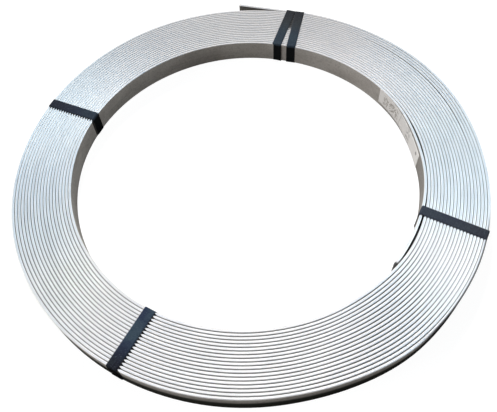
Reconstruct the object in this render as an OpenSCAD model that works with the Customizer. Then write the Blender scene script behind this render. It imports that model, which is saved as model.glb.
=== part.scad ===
// Coil of galvanised flat strip for grounding, lying on its side.
// The Z axis is the coil's axis and z = 0 is the plane that the straps rest on.

/* [Strip] */
// Width of the flat strip, which is the height of the coil
strip_w = 30; // [20:0.5:50]
// Thickness of the strip
strip_t = 3.5; // [2.5:0.1:6]
// Radius of the strip's rounded long edges
edge_r = 1.4; // [0.4:0.1:1.6]
// Gap between one turn and the next
turn_gap = 0.35; // [0.2:0.05:1]

/* [Coil] */
// Diameter of the bore
bore_d = 435; // [300:1:600]
// Full turns of strip between the bore and the outside
turns = 19; // [8:1:28]
// Depth of the groove between two turns, seen on the coil's ends
groove_depth = 2.5; // [1.8:0.1:6]
// Angle where the outermost turn climbs over the step made by the inner end
climb_angle = 304; // [290:1:315]
// Angle of the cut inner end on the bore wall
inner_end_angle = 316; // [300:1:325]

/* [Tail] */
// Angle where the outer end leaves the coil
tail_angle = 75.5; // [75:0.5:85]
// Length of the free outer end
tail_len = 68; // [20:1:100]
// Angle by which the free end springs outwards from the coil
tail_kick = 3; // [2:0.5:8]

/* [Straps] */
// Width of the strapping band
strap_w = 13; // [8:0.5:19]
// Thickness of the strapping band
strap_t = 0.5; // [0.3:0.1:1.2]
// Clearance between a strap and the coil
strap_clear = 0.1; // [0.05:0.05:0.4]
// Gap between the two back straps at the outer edge of the coil
strap_gap = 0.4; // [0.2:0.1:10]

/* [Label] */
// Length of the paper label along the bore wall
label_len = 118; // [60:1:180]
// Height of the label
label_h = 24; // [10:0.5:26]
// Thickness of the paper
label_t = 0.15; // [0.1:0.05:0.4]
// Angle of the label's middle on the bore wall
label_angle = 14.5; // [0:0.5:30]
// Layer of glue between the label and the wall
label_glue = 0.1; // [0.05:0.05:0.3]

/* [Hidden] */
$fn = 96;

pitch = strip_t + turn_gap;
round_r = min(edge_r, 0.45 * strip_t);           // the edge radius, limited by the strip itself
bore_r = bore_d / 2;
wound_r = bore_r + turns * pitch - turn_gap;     // outside of the full turns
wrap_r = wound_r + pitch;                        // outside of the last part turn
coil_z = strap_t + strap_clear;                  // underside of the wound strip
loop_r = round_r + strap_clear;                   // inner bend of a strap's corner
bite = 0.4;                                      // how far joined pieces run into each other
spare = 1;                                       // how far a cut runs past the faces that it cuts
web_lead = 1;                                    // degrees by which the web starts ahead of the part turn
seg = 2;                                         // straight pieces in a rounded corner

// Straps as [angle on the outer wall, angle on the bore wall, lies over the last part turn]
front = [238.5, 238.7, false];
left = [153.9, 154, false];
right = [334.6, 336.6, true];
back_left = [73.1, 74.8, true];
back_right = [back_left[0] - (strap_w + strap_gap) / wrap_r * 180 / PI, 69.3, true];

function polar(r, a) = [r * cos(a), r * sin(a)];

// Points of a quarter corner around (x, y), turning 90 degrees from angle a.
function corner(x, y, r, a) = [for (i = [0:seg]) [x, y] + polar(r, a + 90 * i / seg)];

// Rounded rectangle from (x0, y0) to (x1, y1), anticlockwise.
function rounded(x0, y0, x1, y1, r) = concat(
    corner(x1 - r, y0 + r, r, -90), corner(x1 - r, y1 - r, r, 0),
    corner(x0 + r, y1 - r, r, 90), corner(x0 + r, y0 + r, r, 180));

// Half section of the wound turns: a row of round-edged strips that share a solid middle,
// with a groove between each two of them on both ends.
function turn_top(r0) = concat(
    corner(r0 + strip_t - round_r, strip_w - round_r, round_r, 0),
    corner(r0 + round_r, strip_w - round_r, round_r, 90));
function turn_bottom(r0) = [for (p = turn_top(r0)) [p[0], strip_w - p[1]]];
function reversed(list) = [for (i = [len(list) - 1:-1:0]) list[i]];
function groove_top(r0) = [[r0, strip_w - groove_depth], [r0 - turn_gap, strip_w - groove_depth]];
function groove_bottom(r0) = [[r0 - turn_gap, groove_depth], [r0, groove_depth]];
function wound_section() = concat(
    [for (i = [turns - 1:-1:0]) each concat(turn_top(bore_r + i * pitch),
        i > 0 ? groove_top(bore_r + i * pitch) : [])],
    [for (i = [0:turns - 1]) each concat(i > 0 ? groove_bottom(bore_r + i * pitch) : [],
        reversed(turn_bottom(bore_r + i * pitch)))]);

module wound_turns() {
    rotate_extrude() polygon(wound_section());
}

// The last part turn, joined to the wound turns by a web below the groove.
module part_turn() {
    sweep = 360 + tail_angle - climb_angle;
    rotate([0, 0, climb_angle]) rotate_extrude(angle = sweep)
        polygon(rounded(wrap_r - strip_t, 0, wrap_r, strip_w, round_r));
    rotate([0, 0, climb_angle - web_lead]) rotate_extrude(angle = sweep + web_lead)
        translate([wound_r - bite, groove_depth])
            square([turn_gap + 2 * bite, strip_w - 2 * groove_depth]);
}

// A straight length of strip with its outer face on x = 0, running along +Y.
module straight_strip(length, t = strip_t, inset = 0) {
    translate([0, length, 0]) rotate([90, 0, 0]) linear_extrude(length)
        polygon(rounded(-t, inset, 0, strip_w - inset, min(round_r, 0.47 * t)));
}

// The straight stretch that lifts the last part turn from the wound turns over one pitch.
// It starts inside the outermost full turn and ends inside the part turn.
module climb() {
    foot_r = wound_r - bite;
    end_r = wrap_r - bite / 2;
    lean = acos(foot_r / end_r);
    overrun = atan(bite / wrap_r);
    rotate([0, 0, climb_angle + overrun - lean]) translate([foot_r, 0, 0])
        straight_strip(end_r * sin(lean), strip_t - bite * 1.25, bite / 3);
}

// The free outer end, which springs away from the coil. Its faces lie a little further out
// than the part turn's, so that no two edges coincide where they join.
module tail() {
    root_r = wrap_r + bite / 4;
    rotate([0, 0, tail_angle]) translate([root_r, 0, 0]) rotate([0, 0, -tail_kick])
        translate([0, -bite, 0]) straight_strip(tail_len + bite);
}

// The wedge that stays empty where the second turn climbs over the cut inner end.
module inner_step() {
    foot_r = bore_r + bite / 4;
    lean = acos(foot_r / (bore_r + pitch));
    foot = inner_end_angle - lean;
    hollow_r = bore_r - pitch;
    translate([0, 0, -spare]) linear_extrude(strip_w + 2 * spare) polygon([
        polar(foot_r, foot), polar(bore_r + pitch, inner_end_angle),
        polar(hollow_r, inner_end_angle), polar(hollow_r, foot)]);
}

module strip_coil() {
    color([0.72, 0.75, 0.78]) translate([0, 0, coil_z]) difference() {
        union() {
            wound_turns();
            part_turn();
            climb();
            tail();
        }
        inner_step();
    }
}

// A band drawn tight around the section of the coil, in an upright plane through one
// point on the outer wall and one on the bore wall.
module strap(place) {
    a_out = place[0];
    a_in = place[1];
    r_out = (place[2] ? wrap_r : wound_r) + strap_clear;
    r_in = bore_r - strap_clear;
    top = coil_z + strip_w + strap_clear;
    from = polar(r_in, a_in);
    to = polar(r_out, a_out);
    mid = (from + to) / 2;
    span = to - from;
    color([0.12, 0.14, 0.19]) intersection() {
        rotate_extrude() difference() {
            polygon(rounded(r_in - strap_t, 0, r_out + strap_t, top + strap_t, loop_r + strap_t));
            polygon(rounded(r_in, strap_t, r_out, top, loop_r));
        }
        translate([mid[0], mid[1], top / 2]) rotate([0, 0, atan2(span[1], span[0])])
            cube([norm(span) + 8 * strip_t, strap_w, 2 * top], center = true);
    }
}

module label() {
    r_out = bore_r - label_glue;
    sweep = label_len / r_out * 180 / PI;
    color([0.86, 0.86, 0.84]) translate([0, 0, coil_z + (strip_w - label_h) / 2])
        rotate([0, 0, label_angle - sweep / 2]) rotate_extrude(angle = sweep)
            translate([r_out - label_t, 0]) square([label_t, label_h]);
}

strip_coil();
strap(front);  // strap_front
strap(left);  // strap_left
strap(right);  // strap_right
strap(back_left);  // strap_back_left
strap(back_right);  // strap_back_right
label();
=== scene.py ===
import bpy
import numpy as np
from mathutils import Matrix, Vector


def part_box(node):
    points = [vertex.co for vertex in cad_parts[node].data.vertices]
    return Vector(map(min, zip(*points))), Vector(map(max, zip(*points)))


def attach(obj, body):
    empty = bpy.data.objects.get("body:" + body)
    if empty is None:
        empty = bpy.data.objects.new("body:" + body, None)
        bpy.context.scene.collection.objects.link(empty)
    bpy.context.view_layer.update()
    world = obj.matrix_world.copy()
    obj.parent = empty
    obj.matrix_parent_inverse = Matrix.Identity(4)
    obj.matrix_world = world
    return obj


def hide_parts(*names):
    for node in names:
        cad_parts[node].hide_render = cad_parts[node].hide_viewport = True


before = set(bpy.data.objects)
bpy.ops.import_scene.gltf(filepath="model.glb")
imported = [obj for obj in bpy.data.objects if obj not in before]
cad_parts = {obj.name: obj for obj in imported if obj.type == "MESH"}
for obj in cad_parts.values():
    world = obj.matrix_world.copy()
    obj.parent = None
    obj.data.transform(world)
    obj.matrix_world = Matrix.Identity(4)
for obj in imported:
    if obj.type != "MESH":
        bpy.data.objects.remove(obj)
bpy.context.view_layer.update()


# ---------------------------------------------------------------------------------------
# The strip: one length of about 31 m of hot-dip galvanised flat steel, 30 x 3.5 mm with
# round edges. It is wound on its flat, starts at a square cut on the bore wall, climbs one
# pitch over that cut in every turn, and its outer end springs free behind the back straps.
# ---------------------------------------------------------------------------------------
coil_low, coil_high = (np.array(c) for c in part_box("strip_coil"))
STRIP_T = 0.00364
STRIP_W = coil_high[2] - coil_low[2]
COIL_Z = coil_low[2]
EDGE_H = 0.0014
BORE_R = 0.2175
PITCH = 0.00384
CLIMBS = 19
CLIMB_ANGLE = 289.8
CLIMB_LAG = 1.18
CLIMB_SPAN = 29.8
CUT_ANGLE = 315.6
FIRST_PASS_END = 500
TAIL_ANGLE = 75.5
SPIRAL_END = TAIL_ANGLE + 360 * (CLIMBS + 1)
TAIL_LEN = 0.068
TAIL_KICK = 3.0
TAIL_POINTS = 15
STEPS_PER_TURN = 180
ARC_STEPS = 5


def ease(x):
    """0 below 0, 1 above 1, and 3x^2 - 2x^3 between, so that both ends are level."""
    x = np.clip(x, 0, 1)
    return x * x * (3 - 2 * x)


def bump(theta, middle, width):
    """A smooth hill of height 1 at the angle middle that is level again width degrees
    away on both sides, the same in every turn."""
    away = np.abs((theta - middle + 180) % 360 - 180)
    return ease(1 - away / width)


def inner_face(phi):
    """Radius of the strip's inner face at phi degrees along the spiral. Each turn adds one
    pitch, eased in over 30 degrees; an outer turn climbs a little earlier than an inner
    one. Smooth hills make the coil a little out of round: it bulges where the turns climb,
    by the front strap and on the right, and is drawn in at the back and left straps. Its
    first turn stands off the second on the right, and its last four turns stand off the
    others there."""
    level = np.zeros_like(phi)
    for i in range(1, CLIMBS + 1):
        middle = CLIMB_ANGLE + CLIMB_LAG * (CLIMBS - i) + 360 * i
        level += ease((phi - middle) / CLIMB_SPAN + 0.5)
    share = level / CLIMBS
    first = np.where(phi < FIRST_PASS_END, 1.0, 0.0)
    out = (0.0011 * bump(phi, 318, 48) + 0.0006 * bump(phi, 328, 22)) * (1 - 0.85 * first)
    out = out - (0.0014 * bump(phi, 366, 17) + 0.0006 * bump(phi, 327, 15)) * first
    out = out + 0.0006 * bump(phi, 20, 30)
    out = out + 0.0009 * bump(phi, 232, 26) * (1 - 0.5 * share)
    out = out + 0.0005 * bump(phi, 292, 18) * (1 - share)
    out = out + 0.0010 * bump(phi, 304, 18) * share ** 2
    out = out - 0.0011 * bump(phi, 68, 30)
    out = out - 0.0008 * bump(phi, 90, 34) * share
    out = out - 0.0026 * bump(phi, 156, 52) * share
    out = out + 0.0015 * bump(phi, 28, 26) * share ** 3
    out = out + 0.0007 * bump(phi, 26, 40) * ease(level - 15)
    out = out - 0.0005 * bump(phi, 358, 20) * share ** 3
    return BORE_R + PITCH * level + out


def strip_path():
    """Points of the inner face in plan, the unit normals that point away from the axis,
    and the length run, from the cut end on the bore wall to the tip of the free end."""
    count = int((SPIRAL_END - CUT_ANGLE) / 360 * STEPS_PER_TURN)
    phi = np.linspace(CUT_ANGLE, SPIRAL_END, count)
    radius = inner_face(phi)
    angle = np.radians(phi)
    plan = np.stack([radius * np.cos(angle), radius * np.sin(angle)], 1)
    heading = angle[-1] + np.pi / 2 - np.radians(TAIL_KICK)
    out = np.linspace(0, TAIL_LEN, TAIL_POINTS)[1:, None]
    tail = plan[-1] + out * np.array([np.cos(heading), np.sin(heading)])
    plan = np.concatenate([plan, tail])
    phi = np.concatenate([phi, np.full(len(tail), phi[-1])])
    along = np.gradient(plan, axis=0)
    along /= np.linalg.norm(along, axis=1, keepdims=True)
    normal = np.stack([along[:, 1], -along[:, 0]], 1)
    step = np.linalg.norm(np.diff(plan, axis=0), axis=1)
    run = np.concatenate([[0], np.cumsum(step)])
    return plan, normal, run, phi


def strip_section():
    """Closed section as (distance from the inner face, height): each edge is half an
    ellipse as wide as the strip is thick. Also how far each point is turned up or down:
    1 on the crest of an edge, 0 on a face."""
    turn = np.linspace(0, np.pi, 2 * ARC_STEPS + 1)
    half = STRIP_T / 2
    top_x = half + half * np.cos(turn)
    top_z = STRIP_W - EDGE_H + EDGE_H * np.sin(turn)
    x = np.concatenate([top_x, top_x[::-1]])
    z = np.concatenate([top_z, STRIP_W - top_z[::-1]])
    return x, z, np.abs(np.sin(np.concatenate([turn, turn])))


def grid_mesh(name, points, wrap_u=False, wrap_v=False, caps=False, values=None):
    """A mesh object from a grid of points, rows along u and columns along v, with one quad
    between each four neighbours. A wrapped direction closes on itself, caps close both
    ends of a tube, and values are numbers kept at each point for the material."""
    nu, nv = points.shape[:2]
    index = np.arange(nu * nv).reshape(nu, nv)
    a = index if wrap_u else index[:-1]
    b = np.roll(index, -1, 0) if wrap_u else index[1:]
    if wrap_v:
        quads = np.stack([a, b, np.roll(b, -1, 1), np.roll(a, -1, 1)], -1)
    else:
        quads = np.stack([a[:, :-1], b[:, :-1], b[:, 1:], a[:, 1:]], -1)
    faces = quads.reshape(-1, 4).tolist()
    if caps:
        faces += [index[0].tolist(), index[-1][::-1].tolist()]
    mesh = bpy.data.meshes.new(name)
    mesh.from_pydata(points.reshape(-1, 3), [], faces)
    for key, value in (values or {}).items():
        layer = mesh.attributes.new(key, "FLOAT", "POINT")
        layer.data.foreach_set("value", np.ascontiguousarray(value, np.float32).ravel())
    mesh.polygons.foreach_set("use_smooth", np.ones(len(faces), bool))
    mesh.update()
    piece = bpy.data.objects.new(name, mesh)
    bpy.context.scene.collection.objects.link(piece)
    return piece


def wound_strip():
    """The section carried along the spiral: each point is the path's point, plus the
    section's depth along the normal, at the section's height."""
    plan, normal, run, phi = strip_path()
    depth, height, crest = strip_section()
    points = np.empty((len(plan), len(depth), 3))
    points[..., :2] = plan[:, None] + depth[None, :, None] * normal[:, None]
    points[..., 2] = COIL_Z + height
    one = np.ones((len(plan), len(depth)))
    values = {
        "run": run[:, None] * one,
        "height": height[None] * one,
        "crest": crest[None] * one,
        "turn": phi[:, None] / 360 * one,
        "outward": depth[None] / STRIP_T * one,
    }
    return grid_mesh("wound_strip", points, wrap_v=True, caps=True, values=values)


class Nodes:
    """Short words for laying out the nodes of a material or a world."""

    def __init__(self, owner):
        owner.use_nodes = True
        self.owner = owner
        self.tree = owner.node_tree
        shaders = ("ShaderNodeBsdfPrincipled", "ShaderNodeBackground")
        self.shader = next(node for node in self.tree.nodes if node.bl_idname in shaders)

    def add(self, kind, **settings):
        node = self.tree.nodes.new("ShaderNode" + kind)
        for key, value in settings.items():
            setattr(node, key, value)
        return node

    def link(self, source, target):
        self.tree.links.new(source, target)

    def put(self, socket, value):
        if isinstance(value, bpy.types.NodeSocket):
            self.link(value, socket)
        else:
            socket.default_value = value

    def math(self, operation, a, b=0.0, clamp=False):
        node = self.add("Math", operation=operation, use_clamp=clamp)
        self.put(node.inputs[0], a)
        self.put(node.inputs[1], b)
        return node.outputs[0]

    def times(self, first, *others):
        """The product of all values."""
        for value in others:
            first = self.math("MULTIPLY", first, value)
        return first

    def most(self, first, *others):
        """The largest of all values."""
        for value in others:
            first = self.math("MAXIMUM", first, value)
        return first

    def length(self, vector):
        node = self.add("VectorMath", operation="LENGTH")
        self.link(vector, node.inputs[0])
        return node.outputs["Value"]

    def dot(self, vector, way):
        """How far a vector reaches along a fixed way."""
        node = self.add("VectorMath", operation="DOT_PRODUCT")
        self.link(vector, node.inputs[0])
        node.inputs[1].default_value = way
        return node.outputs["Value"]

    def spread(self, value, low, high, to_low=0.0, to_high=1.0):
        """value taken from low..high to to_low..to_high, and held there beyond."""
        node = self.add("MapRange", interpolation_type="SMOOTHSTEP")
        self.put(node.inputs["Value"], value)
        self.put(node.inputs["From Min"], low)
        self.put(node.inputs["From Max"], high)
        self.put(node.inputs["To Min"], to_low)
        self.put(node.inputs["To Max"], to_high)
        return node.outputs["Result"]

    def mix(self, share, a, b, kind="RGBA", blend="MIX"):
        node = self.add("Mix", data_type=kind)
        if kind == "RGBA":
            node.blend_type = blend
            share_in, a_in, b_in, out = (node.inputs[0], node.inputs[6],
                                         node.inputs[7], node.outputs[2])
        else:
            share_in, a_in, b_in, out = (node.inputs[0], node.inputs[2],
                                         node.inputs[3], node.outputs[0])
        for socket, value in ((share_in, share), (a_in, a), (b_in, b)):
            if isinstance(value, tuple):
                value = (*value, 1.0)
            self.put(socket, value)
        return out

    def attribute(self, name):
        return self.add("Attribute", attribute_name=name).outputs["Fac"]

    def vector(self, x, y, z):
        node = self.add("CombineXYZ")
        for socket, value in zip(node.inputs, (x, y, z)):
            self.put(socket, value)
        return node.outputs[0]

    def place(self):
        return self.add("TexCoord").outputs["Object"]

    def split(self, vector):
        node = self.add("SeparateXYZ")
        self.link(vector, node.inputs[0])
        return node.outputs[0], node.outputs[1], node.outputs[2]

    def noise(self, vector, scale, detail=3.0, rough=0.5):
        node = self.add("TexNoise")
        self.put(node.inputs["Vector"], vector)
        node.inputs["Scale"].default_value = scale
        node.inputs["Detail"].default_value = detail
        node.inputs["Roughness"].default_value = rough
        return node.outputs["Fac"]

    def bump(self, height, distance, strength=1.0):
        node = self.add("Bump")
        self.put(node.inputs["Height"], height)
        node.inputs["Distance"].default_value = distance
        node.inputs["Strength"].default_value = strength
        self.link(node.outputs["Normal"], self.shader.inputs["Normal"])


BAND_W = 0.013
# Each strap's angle on the outside of the coil, and on its bore wall.
STRAPS = {
    "strap_front": (238.5, 238.7),
    "strap_left": (153.9, 154.0),
    "strap_right": (334.6, 336.6),
    "strap_back_left": (73.1, 74.8),
    "strap_back_right": (70.49, 69.3),
}
# The side of a strap that has painted shadow teeth, and how far they reach.
SHADOW_TEETH = {
    "strap_front": (1, 0.0042),
    "strap_left": (1, 0.0040),
    "strap_right": (-1, 0.0018),
}


def bore_wall(angle):
    """Inner face of the first turn at an angle between 0 and 360 degrees."""
    phi = angle if angle > CUT_ANGLE else angle + 360
    return inner_face(np.array([float(phi)]))[0]


def coil_outside(angle):
    """Outer face of the outermost turn at an angle between 0 and 360 degrees."""
    phi = angle + 360 * np.floor((SPIRAL_END - angle) / 360)
    return inner_face(np.array([float(phi)]))[0] + STRIP_T


def strap_line(name):
    """Where a strap's middle line starts at the bore, its heading outwards, and its length."""
    outer_angle, inner_angle = STRAPS[name]
    a, b = np.radians(inner_angle), np.radians(outer_angle)
    start = bore_wall(inner_angle) * np.array([np.cos(a), np.sin(a)])
    stop = coil_outside(outer_angle) * np.array([np.cos(b), np.sin(b)])
    span = np.linalg.norm(stop - start)
    return start, (stop - start) / span, span


def strap_shadow_teeth(n):
    """Painted shadow in the gaps beside three of the straps: a row of dark teeth along one side
    of each, long in the gaps and nothing on the crests."""
    crest = n.attribute("crest")
    gap = n.math("SQRT", n.math("SUBTRACT", 1.0, n.times(crest, crest), clamp=True))
    whole = 0.0
    for name, (side, reach) in SHADOW_TEETH.items():
        start, out, _ = strap_line(name)
        edge = side * (out[0] * start[1] - out[1] * start[0]) + BAND_W / 2
        across = n.dot(n.place(), (-side * out[1], side * out[0], 0))
        away = n.math("SUBTRACT", across, float(edge))
        along = n.dot(n.place(), (out[0], out[1], 0))
        tip = n.math("SUBTRACT", n.times(gap, reach), away)
        tooth = n.times(n.spread(tip, 0.0, 0.0004), n.spread(away, -0.001, 0.0))
        whole = n.most(whole, n.times(tooth, n.spread(along, 0.17, 0.20)))
    return whole


# Zinc colours: two ends of the soft patches, and what is mixed over them.
FLAT_ZINC = ((0.45, 0.415, 0.378), (0.56, 0.522, 0.478))
FLAT_LINES = (0.29, 0.264, 0.236)
FLAT_SPANGLE = (0.75, 0.73, 0.70)
FLAT_GRAIN = (0.26, 0.24, 0.22)
CREST_ZINC = ((0.72, 0.718, 0.714), (0.80, 0.797, 0.792))
FAR_CREST_SHADE = (0.50, 0.50, 0.50)
SIDE_SKY_REFLECTION = (0.89, 0.955, 0.985)
NEAR_LEFT_SHADE = (0.88, 0.90, 0.92)
NEAR_WALL_SHADE = (0.030, 0.031, 0.026)
PAINTED_BORE_SHADE = (0.14, 0.135, 0.13)
GAP_SHADE = (0.035, 0.036, 0.037)
SHADE_AND_MARK_BLACK = (0.01, 0.01, 0.012)
# Where along the strip the second turn, the outermost turn and the free end begin.
LAST_TURN = SPIRAL_END / 360
SECOND_TURN = (1.87, 1.90)
OUTERMOST_TURN = (LAST_TURN - 1.01, LAST_TURN - 0.99)
FREE_END = (LAST_TURN - 0.03, LAST_TURN - 0.005)


def zinc_finish():
    """Hot-dip zinc: bright and worn on the round edges, dull and brownish on the flats,
    with rolling lines along the strip, soft cloudy patches and small pale spots. Some of
    its tones go by place and are painted light and shade. Painted shade darkens the gaps,
    the lower half of the near outer wall, the free end's inner face, the cut end and the bore
    wall at the right. The crests are painted greyer on the far side as shade, bluer at the
    sides as painted sky reflection and darker on the near left as shade, and their bright
    band is narrower on the near side as painted shade and wider at the near right as painted
    highlight. Painted shadow teeth lie beside three straps, painted shade on the outermost
    turn at the near right, and a dark wedge between the back straps."""
    n = Nodes(bpy.data.materials.new("zinc"))
    run = n.attribute("run")
    height = n.attribute("height")
    turn = n.attribute("turn")
    outward = n.attribute("outward")
    x, y, _ = n.split(n.place())
    # Painted shade and highlight: the crests' bright band is narrowed on the near side and
    # widened at the near right.
    narrower = n.times(n.spread(y, -0.13, 0.03, 0.14, 0.0),
                       n.spread(x, 0.175, 0.21, 1.0, -0.3))
    crest = n.spread(n.math("SUBTRACT", n.attribute("crest"), narrower), 0.0, 0.64)
    lines = n.noise(n.vector(n.times(run, 6.0), n.times(height, 300.0), turn), 1.0, 4.0, 0.6)
    patch = n.noise(n.vector(n.times(run, 22.0), n.times(height, 40.0), turn), 1.0, 3.0, 0.55)
    grain = n.noise(n.place(), 420.0, 2.0, 0.6)
    spangle = n.add("TexVoronoi")
    n.put(spangle.inputs["Vector"], n.vector(run, height, n.times(turn, 0.4)))
    spangle.inputs["Scale"].default_value = 260.0
    cell = n.add("SeparateColor")
    n.link(spangle.outputs["Color"], cell.inputs[0])

    flat = n.mix(n.spread(patch, 0.35, 0.7), *FLAT_ZINC)
    flat = n.mix(n.spread(lines, 0.5, 0.72, 0.0, 0.35), flat, FLAT_LINES)
    flat = n.mix(n.times(cell.outputs[0], 0.12), flat, FLAT_SPANGLE)
    flat = n.mix(n.spread(grain, 0.5, 0.64, 0.0, 0.35), flat, FLAT_GRAIN)
    # Painted shade: the lower half of the near outer wall is drawn almost black.
    near = n.spread(y, -0.24, -0.10, 1.0, 0.0)
    outer = n.spread(outward, 0.5, 0.95)
    low = n.spread(height, 0.0145, 0.0245, 1.0, 0.12)
    flat = n.mix(n.times(near, outer, low, 0.98), flat, NEAR_WALL_SHADE)
    # Painted shade: the first turn's bore wall at the right is drawn darker.
    bore_shade = n.times(n.spread(x, 0.190, 0.208, 0.0, 0.55),
                        n.spread(turn, *SECOND_TURN, 1.0, 0.0))
    flat = n.mix(bore_shade, flat, PAINTED_BORE_SHADE)
    # Painted shade: the faces inside the gaps and the free end's inner face are drawn near
    # black.
    turned_in = n.times(n.spread(outward, 0.45, 0.55, 1.0, 0.0), n.spread(turn, *SECOND_TURN))
    wound = n.spread(turn, *FREE_END, 1.0, 0.0)
    loose = n.times(turned_in, n.math("SUBTRACT", 1.0, wound))
    flat = n.mix(n.times(loose, 0.78), flat, GAP_SHADE)
    turned_out = n.times(n.spread(outward, 0.45, 0.55),
                         n.spread(turn, *OUTERMOST_TURN, 1.0, 0.0))
    flat = n.mix(n.most(n.times(turned_in, wound), turned_out), flat, GAP_SHADE)

    bright = n.mix(n.spread(patch, 0.3, 0.7), *CREST_ZINC)
    # Painted shade: the crests on the far side are drawn greyer.
    bright = n.mix(n.spread(y, 0.09, 0.27, 0.0, 0.85), bright, FAR_CREST_SHADE)
    # Painted reflection: the crests at the sides are tinted blue like the sky they mirror.
    sides = n.times(n.spread(n.math("ABSOLUTE", x), 0.15, 0.25), n.spread(y, -0.15, -0.08))
    bright = n.mix(sides, bright, SIDE_SKY_REFLECTION, blend="MULTIPLY")
    # Painted shade: the crests on the near left are drawn a little darker.
    near_left = n.times(n.spread(x, -0.24, -0.17, 1.0, 0.0), n.spread(y, -0.02, 0.06, 1.0, 0.0))
    bright = n.mix(near_left, bright, NEAR_LEFT_SHADE, blend="MULTIPLY")

    # Painted shade: the cut inner end is drawn near black.
    sheared = n.spread(run, 0.0008, 0.0030, 0.85, 0.0)
    # Painted shade: the outer side of the outermost turn at the near right is drawn dark.
    rim = n.times(n.spread(outward, 0.35, 0.75, 0.0, 0.85), n.spread(turn, *OUTERMOST_TURN),
                  n.spread(x, 0.155, 0.19), n.spread(y, -0.13, -0.09, 1.0, 0.0))
    # A wedge on the turns between the back straps is drawn near black.
    lean = n.math("SUBTRACT", x, n.times(n.math("SUBTRACT", y, 0.243), 0.38))
    wedge = n.times(n.spread(lean, 0.0725, 0.0735), n.spread(lean, 0.0855, 0.0865, 1.0, 0.0),
                    n.spread(y, 0.236, 0.245, 0.0, 0.85))
    # Near black over the zinc: the painted shadow teeth, the painted shade on the cut end and
    # the near-right rim, and the dark wedge.
    shade_and_marks = n.most(n.times(strap_shadow_teeth(n), 0.92), sheared, rim, wedge)

    n.put(n.shader.inputs["Base Color"], n.mix(shade_and_marks, n.mix(crest, flat, bright), SHADE_AND_MARK_BLACK))
    n.put(n.shader.inputs["Metallic"], n.mix(shade_and_marks, n.times(crest, 0.66), 0.0, "FLOAT"))
    dull = n.spread(patch, 0.3, 0.7, 0.48, 0.62)
    n.put(n.shader.inputs["Roughness"], n.mix(crest, dull, 0.36, "FLOAT"))
    n.shader.inputs["Specular IOR Level"].default_value = 0.0
    rough = n.math("ADD", n.times(grain, 0.3), lines)
    n.bump(n.times(rough, n.math("SUBTRACT", 1.0, crest)), 0.00006, 0.4)
    return n.owner


zinc = zinc_finish()
strip = wound_strip()
strip.data.materials.append(zinc)
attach(strip, "root")
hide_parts("strip_coil")


# ---------------------------------------------------------------------------------------
# The straps: five loops of 13 mm blue-black painted steel strapping, pulled tight around
# the section in an upright plane. They bend round the edges of the coil, lie on the
# crests of the turns, and hold the turns together.
# ---------------------------------------------------------------------------------------
BAND_T = 0.0005
BAND_GAP = 0.0001
BAND_DIP = 0.00008
BAND_BEVEL = 0.3
CORNER_STEPS = 7
FLAT_STEPS = 150
SIDE_STEPS = 8


def band_loop(span, grow):
    """Loop in the strap's own plane as (distance from the bore end, height) with round
    corners: the coil's section grown by grow, walked once round."""
    low, high = -grow, span + grow
    floor, top = COIL_Z - grow, COIL_Z + STRIP_W + grow
    r = EDGE_H + grow
    quarter = np.linspace(0, np.pi / 2, CORNER_STEPS)
    corners = [(high - r, floor + r, -1), (high - r, top - r, 0), (low + r, top - r, 1),
               (low + r, floor + r, 2)]
    x = []
    z = []
    for i, (cx, cz, turn) in enumerate(corners):
        a = quarter + turn * np.pi / 2
        x.append(cx + r * np.cos(a))
        z.append(cz + r * np.sin(a))
        nx, nz, nturn = corners[(i + 1) % 4]
        b = nturn * np.pi / 2
        count = FLAT_STEPS if i % 2 else SIDE_STEPS
        share = np.linspace(0, 1, count + 2)[1:-1]
        x.append(x[-1][-1] + share * (nx + r * np.cos(b) - x[-1][-1]))
        z.append(z[-1][-1] + share * (nz + r * np.sin(b) - z[-1][-1]))
    return np.concatenate(x), np.concatenate(z)


def over_gap(plan):
    """How far points in plan are from the crest of a turn: 0 on it, 1 over a gap."""
    theta = np.degrees(np.arctan2(plan[:, 1], plan[:, 0])) % 360
    crest = inner_face(theta[:, None] + 360 * np.arange(CLIMBS + 2)) + STRIP_T / 2
    away = np.abs(np.hypot(plan[:, 0], plan[:, 1])[:, None] - crest).min(1)
    return ease(away / (PITCH / 2))


def strap_band(name):
    """The band's flat section, 13 by 0.5 mm, carried round the loop: each point is the
    loop's point at one of two growths, moved sideways across the band. Its top dips a
    little between the turns."""
    start, out, span = strap_line(name)
    side = np.array([-out[1], out[0]])
    across = np.array([-0.5, -0.47, -0.25, 0.0, 0.25, 0.47, 0.5])
    lower = np.stack([across, np.full(len(across), BAND_GAP)], 1)
    upper = np.stack([across[::-1], np.full(len(across), BAND_GAP + BAND_T)], 1)
    upper[[0, -1], 1] -= BAND_T * BAND_BEVEL
    lower[[0, -1], 1] += BAND_T * BAND_BEVEL
    ring = np.concatenate([lower, upper])
    points = np.empty((len(band_loop(span, 0.0)[0]), len(ring), 3))
    for j, (w, grow) in enumerate(ring):
        x, z = band_loop(span, grow)
        plan = start + x[:, None] * out + w * BAND_W * side
        z = z - BAND_DIP * over_gap(plan) * (z > COIL_Z + STRIP_W)
        points[:, j] = np.concatenate([plan, z[:, None]], 1)
    loop = points[:, len(across) // 2]
    run = np.concatenate([[0], np.cumsum(np.linalg.norm(np.diff(loop, axis=0), axis=1))])
    one = np.ones(points.shape[:2])
    values = {"run": run[:, None] * one, "side": ring[:, 0][None] * BAND_W * one}
    band = grid_mesh(name + "_band", points, wrap_u=True, wrap_v=True, values=values)
    band.data.materials.append(strap_paint)
    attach(band, "root")
    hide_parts(name)


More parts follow.
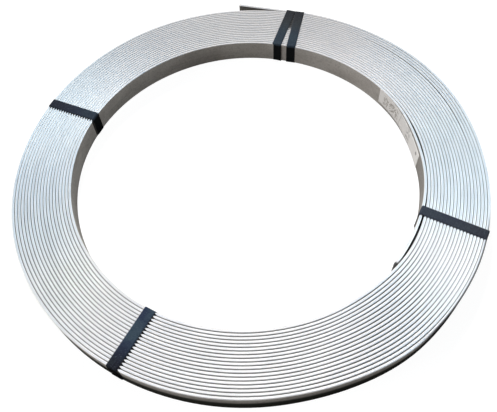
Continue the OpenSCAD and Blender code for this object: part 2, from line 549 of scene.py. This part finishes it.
# Paint colours, partly painted sky reflection and shade by place: the near and far straps
# have two, one at each end of a slow change.
NEAR_PAINT_AND_REFLECTION = ((0.029, 0.041, 0.076), (0.050, 0.076, 0.102))
FAR_PAINT_AND_REFLECTION = ((0.042, 0.055, 0.068), (0.045, 0.045, 0.044))
LEFT_PAINT_SHADE = (0.022, 0.025, 0.038)
RIGHT_PAINT_AND_REFLECTION = (0.046, 0.050, 0.063)
OUTSIDE_PAINT_SHADE = (0.016, 0.014, 0.015)
STREAK_PAINT = (0.05, 0.065, 0.085)
SCRATCH_PAINT = (0.095, 0.125, 0.15)
PIT_PAINT = (0.012, 0.016, 0.028)
PAINTED_SIDE_SHADE = (0.009, 0.009, 0.008)


def strap_finish():
    """Blue-black strapping paint with fine pale scratches. Its tones by place are painted sky
    reflection and shade over the paint's own colour: slate blue on the near straps, greyer on
    the far ones and on the right, darker on the left and towards the outside, and black below
    the top face as painted shade."""
    n = Nodes(bpy.data.materials.new("strap_paint"))
    run = n.attribute("run")
    side = n.attribute("side")
    place = n.place()
    x, y, z = n.split(place)
    streak = n.noise(n.vector(n.times(run, 40.0), n.times(side, 900.0), 0.0), 1.0, 3.0, 0.6)
    cloud = n.noise(place, 38.0, 3.0, 0.6)
    scuff = n.noise(place, 700.0, 3.0, 0.7)
    base = n.mix(n.spread(cloud, 0.38, 0.62), *NEAR_PAINT_AND_REFLECTION)
    radius = n.length(n.vector(x, y, 0.0))
    # Painted reflection: the far straps are drawn greyer and less blue.
    worn = n.mix(n.spread(radius, 0.235, 0.270), *FAR_PAINT_AND_REFLECTION)
    base = n.mix(n.spread(y, -0.15, 0.28, 0.0, 0.85), base, worn)
    # Painted shade: the straps on the left are drawn darker.
    base = n.mix(n.spread(x, -0.27, -0.05, 0.55, 0.0), base, LEFT_PAINT_SHADE)
    # Painted shade: the near straps are drawn darker towards the outside.
    outside = n.times(n.spread(radius, 0.255, 0.29, 0.0, 0.8),
                      n.spread(y, -0.15, 0.0, 1.0, 0.3))
    base = n.mix(outside, base, OUTSIDE_PAINT_SHADE)
    # Painted reflection: the straps on the right are drawn greyer.
    base = n.mix(n.spread(x, 0.15, 0.21, 0.0, 0.75), base, RIGHT_PAINT_AND_REFLECTION)
    base = n.mix(n.spread(streak, 0.55, 0.8, 0.0, 0.5), base, STREAK_PAINT)
    base = n.mix(n.spread(scuff, 0.56, 0.66, 0.0, 0.4), base, SCRATCH_PAINT)
    base = n.mix(n.spread(scuff, 0.34, 0.44, 0.5, 0.0), base, PIT_PAINT)
    # Painted shade: the strap is drawn black below its top face.
    base = n.mix(n.spread(z, 0.0275, 0.0300, 0.9, 0.0), base, PAINTED_SIDE_SHADE)
    n.put(n.shader.inputs["Base Color"], base)
    n.shader.inputs["Specular IOR Level"].default_value = 0.0
    n.put(n.shader.inputs["Roughness"], n.spread(streak, 0.3, 0.7, 0.42, 0.58))
    n.bump(n.math("ADD", scuff, streak), 0.00006, 0.5)
    return n.owner


strap_paint = strap_finish()
for strap_name in STRAPS:
    strap_band(strap_name)


# ---------------------------------------------------------------------------------------
# The label: a strip of pale paper glued to the bore wall, laid on a little askew, with a
# pasted seam and faint printing that has worn off to grey marks.
# ---------------------------------------------------------------------------------------
LABEL_FROM = -1.2
LABEL_TO = 30.0
LABEL_H = 0.0242
LABEL_T = 0.00015
LABEL_GLUE = 0.0001
LABEL_LOW = COIL_Z + 0.0005
LABEL_RISE = 0.0046


def paper_label():
    """A band of paper as (angle, height): its foot rises evenly from one end to the other,
    and it has a front and a back face that meet at the rim."""
    along = np.linspace(0, 1, 61)
    up = np.linspace(0, 1, 9)
    s, v = np.meshgrid(along, up, indexing="ij")
    theta = np.radians(LABEL_FROM + (LABEL_TO - LABEL_FROM) * s)
    foot = LABEL_LOW + LABEL_RISE * s
    z = foot + LABEL_H * v
    wall = inner_face(np.degrees(theta) + 360)
    front = wall - LABEL_GLUE - LABEL_T
    back = wall - LABEL_GLUE
    ring = []
    for radius, order in ((back, slice(None)), (front, slice(None, None, -1))):
        sheet = np.stack([radius * np.cos(theta), radius * np.sin(theta), z], -1)
        ring.append(sheet[:, order])
    points = np.concatenate(ring, 1)
    sv = np.concatenate([s, s[:, ::-1]], 1)
    vv = np.concatenate([v, v[:, ::-1]], 1)
    return grid_mesh("paper_label", points, wrap_v=True, caps=True,
                     values={"along": sv, "up": vv})


# Paper colours: two ends of its soft clouds, and what is mixed over them.
PAPER = ((0.93, 0.90, 0.865), (0.95, 0.925, 0.89))
PAPER_FIBRE = (0.62, 0.60, 0.57)
BLOCK_GREY = (0.28, 0.25, 0.21)
SEAM_GREY = (0.40, 0.38, 0.35)
DOT_GREY = (0.16, 0.15, 0.14)
PATCH_GREY = (0.35, 0.34, 0.33)


def paper_finish():
    """Pale warm paper with a faint fibre, a block and a patch of worn grey specks, the line
    of a pasted seam and one dark dot."""
    n = Nodes(bpy.data.materials.new("label_paper"))
    along = n.attribute("along")
    up = n.attribute("up")
    cloud = n.noise(n.place(), 60.0, 3.0, 0.5)
    fibre = n.noise(n.place(), 900.0, 2.0, 0.6)
    specks = n.noise(n.vector(n.times(along, 26.0), n.times(up, 6.0), 0.0), 1.0, 3.0, 0.7)
    base = n.mix(n.spread(cloud, 0.35, 0.65), *PAPER)
    base = n.mix(n.spread(fibre, 0.5, 0.66, 0.0, 0.32), base, PAPER_FIBRE)
    block = n.times(n.spread(along, 0.62, 0.66), n.spread(along, 0.90, 0.94, 1.0, 0.0))
    rows = n.times(n.spread(up, 0.10, 0.24), n.spread(up, 0.74, 0.90, 1.0, 0.0))
    block = n.times(block, rows)
    base = n.mix(n.times(block, n.spread(specks, 0.46, 0.58, 0.0, 0.8)), base, BLOCK_GREY)
    slant = n.math("ADD", along, n.times(up, 0.03))
    from_seam = n.math("ABSOLUTE", n.math("SUBTRACT", slant, 0.605))
    base = n.mix(n.spread(from_seam, 0.003, 0.008, 0.5, 0.0), base, SEAM_GREY)
    aside = n.times(n.math("SUBTRACT", along, 0.09), 5.0)
    above = n.math("SUBTRACT", up, 0.62)
    dot = n.spread(n.length(n.vector(aside, above, 0.0)), 0.06, 0.14, 0.75, 0.0)
    base = n.mix(dot, base, DOT_GREY)
    patch = n.times(n.spread(along, 0.30, 0.34), n.spread(along, 0.40, 0.44, 1.0, 0.0))
    base = n.mix(n.times(patch, n.spread(specks, 0.48, 0.56, 0.0, 0.6)), base, PATCH_GREY)
    n.put(n.shader.inputs["Base Color"], base)
    n.put(n.shader.inputs["Roughness"], n.spread(fibre, 0.3, 0.7, 0.6, 0.75))
    n.bump(fibre, 0.00005, 0.4)
    return n.owner


label = paper_label()
label.data.materials.append(paper_finish())
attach(label, "root")
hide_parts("label")


# ---------------------------------------------------------------------------------------
# The room: a pale floor that glows white except in its painted shadow under the ring, a
# coloured sky that the crests mirror, soft suns, and a camera that looks down on the coil.
# ---------------------------------------------------------------------------------------
FLOOR_HALF = 12.0
FLOOR_GLOW = 0.93
FLOOR_PLAIN = (0.22, 0.22, 0.22, 1)
FLOOR_BOUNCE = (0.34, 0.33, 0.32, 1)
BORE_GLOW = (0.2190, 0.2196)
OUTER_GLOW = (0.283, 0.286)
SKY_AS_LIGHT = 0.185
HAZE = (0.09, 0.16)
HAZE_WHITE = (1.0, 1.0, 1.0)
RIGHT_SKY = (0.45, 0.85, 1.15)
FRONT_SKY = (0.05, 0.05, 0.05)
# The sky's colours from the horizon, 0, to straight up, 1.
SKY = [
    (0.0, (0.34, 0.34, 0.34)),
    (0.64, (0.36, 0.36, 0.36)),
    (0.75, (0.12, 0.50, 0.92)),
    (0.84, (0.12, 0.58, 1.10)),
    (0.90, (0.62, 0.80, 1.03)),
    (0.955, (3.00, 2.62, 2.30)),
    (1.0, (3.00, 2.62, 2.30)),
]
# Soft patches in the sky: the way to the middle, how near it they begin, and the colour.
PATCHES = [
    ((-0.29, 0.73, 0.62), 0.95, (2.1, 2.6, 2.85)),
    ((0.82, 0.12, 0.56), 0.93, (4.4, 4.4, 4.3)),
    ((-0.36, 0.47, 0.80), 0.925, (0.0, 0.12, 0.40)),
]


def seen_plainly(n):
    """1 for rays from the eye, from a reflection or through glass, 0 for all others."""
    path = n.add("LightPath")
    return n.most(path.outputs["Is Camera Ray"], path.outputs["Is Glossy Ray"],
                  path.outputs["Is Transmission Ray"])


def floor_piece():
    """A wide square floor at z = 0. It glows white inside the bore and outside the coil,
    and is a plain grey under the ring as a painted shadow. As a light it only bounces what
    falls on it."""
    ends = (-FLOOR_HALF, FLOOR_HALF)
    floor = grid_mesh("floor", np.array([[[x, y, 0] for y in ends] for x in ends]))
    n = Nodes(bpy.data.materials.new("floor_finish"))
    n.tree.nodes.remove(n.shader)
    plain = n.add("BsdfDiffuse")
    plain.inputs["Color"].default_value = FLOOR_PLAIN
    bounce = n.add("BsdfDiffuse")
    bounce.inputs["Color"].default_value = FLOOR_BOUNCE
    glow = n.add("Emission")
    glow.inputs["Color"].default_value = (1, 1, 1, 1)
    x, y, _ = n.split(n.place())
    radius = n.length(n.vector(x, y, 0.0))
    # Painted shadow: the glow is off in a ring under the coil.
    inside = n.spread(radius, *BORE_GLOW, 1.0, 0.0)
    outside = n.spread(radius, *OUTER_GLOW)
    n.put(glow.inputs["Strength"], n.times(n.most(inside, outside), FLOOR_GLOW))
    lit = n.add("AddShader")
    n.link(plain.outputs[0], lit.inputs[0])
    n.link(glow.outputs[0], lit.inputs[1])
    both = n.add("MixShader")
    n.link(seen_plainly(n), both.inputs[0])
    n.link(bounce.outputs[0], both.inputs[1])
    n.link(lit.outputs[0], both.inputs[2])
    n.link(both.outputs[0], n.tree.nodes["Material Output"].inputs["Surface"])
    floor.data.materials.append(n.owner)


def world_light():
    """A grey sky that is blue higher up and warm white overhead, light blue to the right
    and dark in front, with three soft patches and a white haze along the horizon that
    carries the floor's white on. It is weaker as a light."""
    n = Nodes(bpy.data.worlds.new("sky"))
    bpy.context.scene.world = n.owner
    way = n.add("TexCoord").outputs["Generated"]
    x, y, z = n.split(way)
    ramp = n.add("ValToRGB")
    n.link(z, ramp.inputs[0])
    for place, colour in SKY:
        if place in (0.0, 1.0):
            stop = ramp.color_ramp.elements[int(place)]
        else:
            stop = ramp.color_ramp.elements.new(place)
        stop.color = (*colour, 1)
    colour = n.mix(n.spread(x, 0.35, 0.85), ramp.outputs[0], RIGHT_SKY)
    colour = n.mix(n.spread(y, -0.75, -0.15, 0.75, 0.0), colour, FRONT_SKY)
    for middle, edge, patch_colour in PATCHES:
        colour = n.mix(n.spread(n.dot(way, middle), edge, 1.0), colour, patch_colour)
    haze = n.spread(z, *HAZE, 1.0, 0.0)
    n.put(n.shader.inputs["Color"], n.mix(haze, colour, HAZE_WHITE))
    strength = n.spread(seen_plainly(n), 0.0, 1.0, SKY_AS_LIGHT, 1.0)
    n.put(n.shader.inputs["Strength"], strength)


def sun(name, azimuth, elevation, level, spread):
    """A distant lamp that lights a level surface to the given level on its own."""
    lamp = bpy.data.lights.new(name, "SUN")
    lamp.energy = level * np.pi / np.sin(np.radians(elevation))
    lamp.angle = np.radians(spread)
    holder = bpy.data.objects.new(name, lamp)
    holder.rotation_euler = (0, np.radians(90 - elevation), np.radians(azimuth))
    bpy.context.scene.collection.objects.link(holder)
    return holder


floor_piece()
world_light()
key = sun("key", 98.0, 41.0, 0.62, 9.0)
key.visible_glossy = False
left = sun("left_fill", 190.0, 20.0, 0.12, 25.0)
left.data.color = (0.96, 0.98, 1.0)
left.visible_glossy = False
sun("right_fill", 350.0, 20.0, 0.022, 25.0)
sun("top", 270.0, 82.0, 0.06, 30.0)

lens = bpy.data.cameras.new("camera")
lens.sensor_width = 36.0
lens.lens = 42.4
lens.clip_start = 0.05
lens.clip_end = 50.0
camera = bpy.data.objects.new("camera", lens)
camera.location = (-0.00058, -0.44129, 0.6137)
camera.rotation_mode = "ZYX"
camera.rotation_euler = (np.radians(32.90), 0, np.radians(-4.14))
bpy.context.scene.collection.objects.link(camera)
bpy.context.scene.camera = camera
bpy.context.scene.view_settings.view_transform = "Standard"
